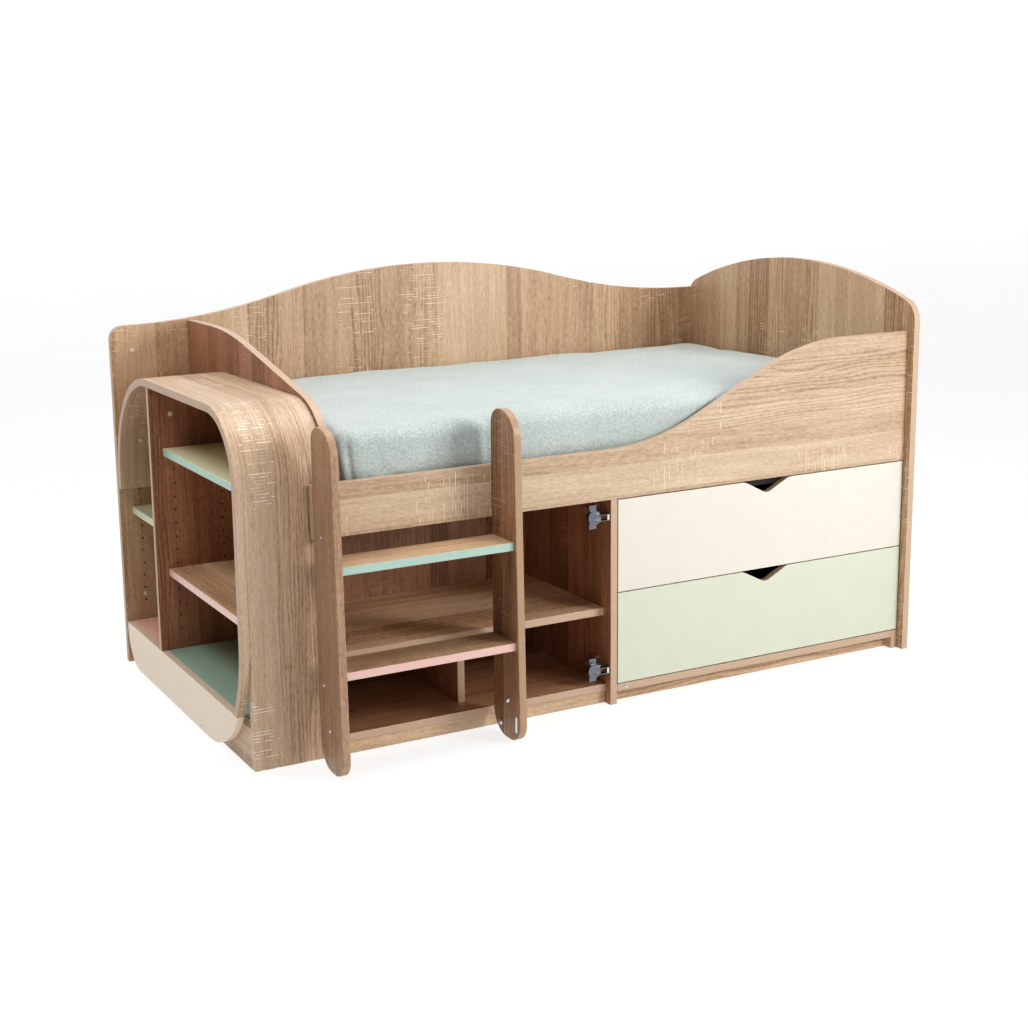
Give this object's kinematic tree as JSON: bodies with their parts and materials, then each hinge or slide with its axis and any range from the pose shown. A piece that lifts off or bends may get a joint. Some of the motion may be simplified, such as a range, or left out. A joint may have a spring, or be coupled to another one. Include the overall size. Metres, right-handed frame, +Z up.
{
  "type": "modular bed",
  "caption": "Raised child's bed with an arched headboard, wavy back panel, bent-shell bookcase end, side ladder, open cupboard and drawers with finger notches.",
  "frame": {"origin": "middle of the footprint's bounding box, on the floor", "axes": "+X along the bed from the bookcase to the headboard, +Y from the front rail to the back panel, +Z up"},
  "size_m": [1.865, 1.072, 1.0268],
  "materials": {
    "oak_board": "satin",
    "cream_board": "satin",
    "pale_green_board": "satin",
    "mint_board": "satin",
    "pink_board": "satin",
    "green_board": "satin",
    "pine": "matte",
    "white_panel": "matte",
    "bed_fabric": "matte",
    "chrome": "gloss",
    "steel": "satin",
    "beige_plastic": "matte"
  },
  "bodies": {
    "frame": {"back_panel": "oak_board", "bookcase_plinth": "oak_board", "bookcase_rim": "oak_board", "bookcase_shell": "oak_board", "bookcase_upright": "oak_board", "corner_shelf": "mint_board", "cover_caps": "beige_plastic", "cupboard_back": "white_panel", "cupboard_bottom": "oak_board", "cupboard_partition": "oak_board", "cupboard_plinth": "oak_board", "cupboard_shelf": "oak_board", "divider": "oak_board", "drawer_unit_back": "white_panel", "drawer_unit_bottom": "oak_board", "drawer_unit_plinth": "oak_board", "drawer_unit_side": "oak_board", "drawer_unit_stretchers": "oak_board", "edge_screws": "chrome", "foot_fittings": "chrome", "footboard": "oak_board", "front_rail": "oak_board", "green_floor": "green_board", "headboard": "oak_board", "hinge_pins": "steel", "hinge_screws": "chrome", "kick_plate": "cream_board", "ladder_bolts": "chrome", "ladder_stile_left": "oak_board", "ladder_stile_right": "oak_board", "lower_cabinet_runners": "steel", "lower_hinge_arm": "chrome", "lower_hinge_plate": "chrome", "lower_step": "oak_board", "mattress": "bed_fabric", "mint_shelf": "mint_board", "pink_floor": "pink_board", "pink_shelf": "pink_board", "shelf_pins": "chrome", "slat_bearers": "pine", "slats": "pine", "upper_cabinet_runners": "steel", "upper_hinge_arm": "chrome", "upper_hinge_plate": "chrome", "upper_step": "oak_board"},
    "upper_drawer": {"upper_drawer_front": "cream_board", "upper_drawer_left": "white_panel", "upper_drawer_right": "white_panel", "upper_drawer_back": "white_panel", "upper_drawer_bottom": "white_panel", "upper_drawer_runners": "steel"},
    "upper_hinge_cup": {"upper_hinge_cup": "chrome"},
    "lower_drawer": {"lower_drawer_front": "pale_green_board", "lower_drawer_left": "white_panel", "lower_drawer_right": "white_panel", "lower_drawer_back": "white_panel", "lower_drawer_bottom": "white_panel", "lower_drawer_runners": "steel"},
    "lower_hinge_cup": {"lower_hinge_cup": "chrome"}
  },
  "joints": [
    {"name": "upper_drawer_slide", "type": "slide", "parent": "frame", "child": "upper_drawer", "axis": [0, -1, 0], "range_m": [0, 0.3]},
    {"name": "lower_drawer_slide", "type": "slide", "parent": "frame", "child": "lower_drawer", "axis": [0, -1, 0], "range_m": [0, 0.3]},
    {"name": "upper_hinge_turn", "type": "hinge", "parent": "frame", "child": "upper_hinge_cup", "pos_m": [-0.0055, -0.412, 0.472], "axis": [0, 0, 1], "range_deg": [0, 95]},
    {"name": "lower_hinge_turn", "type": "hinge", "parent": "frame", "child": "lower_hinge_cup", "pos_m": [-0.0055, -0.412, 0.091], "axis": [0, 0, 1], "range_deg": [0, 95]}
  ]
}
